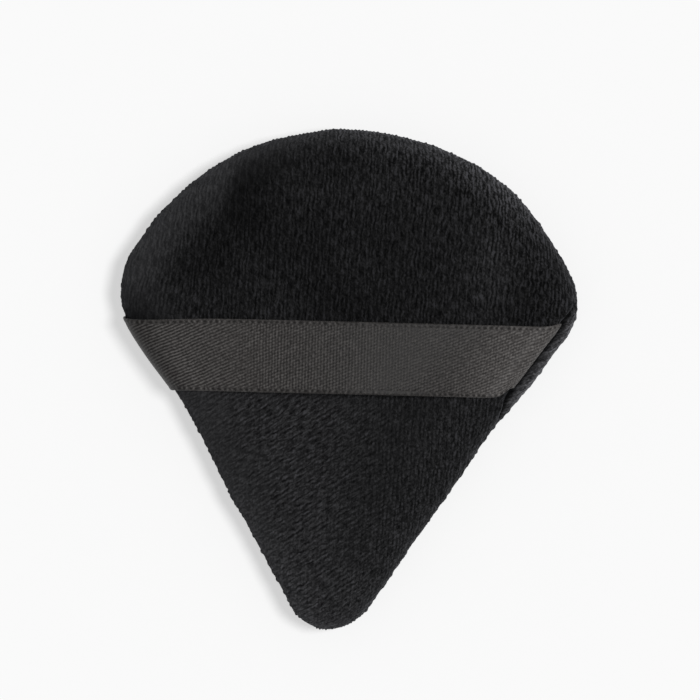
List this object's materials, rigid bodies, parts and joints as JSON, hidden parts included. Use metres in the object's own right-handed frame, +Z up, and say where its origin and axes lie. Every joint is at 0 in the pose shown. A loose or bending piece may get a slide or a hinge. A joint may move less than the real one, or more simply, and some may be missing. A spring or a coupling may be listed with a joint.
{
  "type": "powder puff",
  "caption": "Fan-shaped velour powder puff with a crowned, sponge-filled pad, a narrow rounded tip, and a satin ribbon strap across the front that slips over the fingers.",
  "frame": {"origin": "middle of the puff's box, on the table under the flat powder face", "axes": "+Z up out of the strap side, +Y along the pad towards its round top, tip towards -Y, strap along X"},
  "size_m": [0.0752, 0.0828, 0.0181],
  "materials": {
    "velour": "matte",
    "satin": "satin",
    "sponge": "matte",
    "thread": "satin"
  },
  "bodies": {
    "pad": {"front_panel": "velour", "back_panel": "velour", "foam_core": "sponge", "seam_needle_thread": "thread", "seam_bobbin_thread": "thread", "closing_stitch": "thread"},
    "strap": {"finger_strap": "satin"}
  },
  "joints": [
    {"name": "strap_lift", "type": "slide", "parent": "pad", "child": "strap", "axis": [0, 0, 1], "range_m": [-0.0042, 0.006], "stiffness_N_per_m": 12, "deforming": ["finger_strap"]}
  ]
}
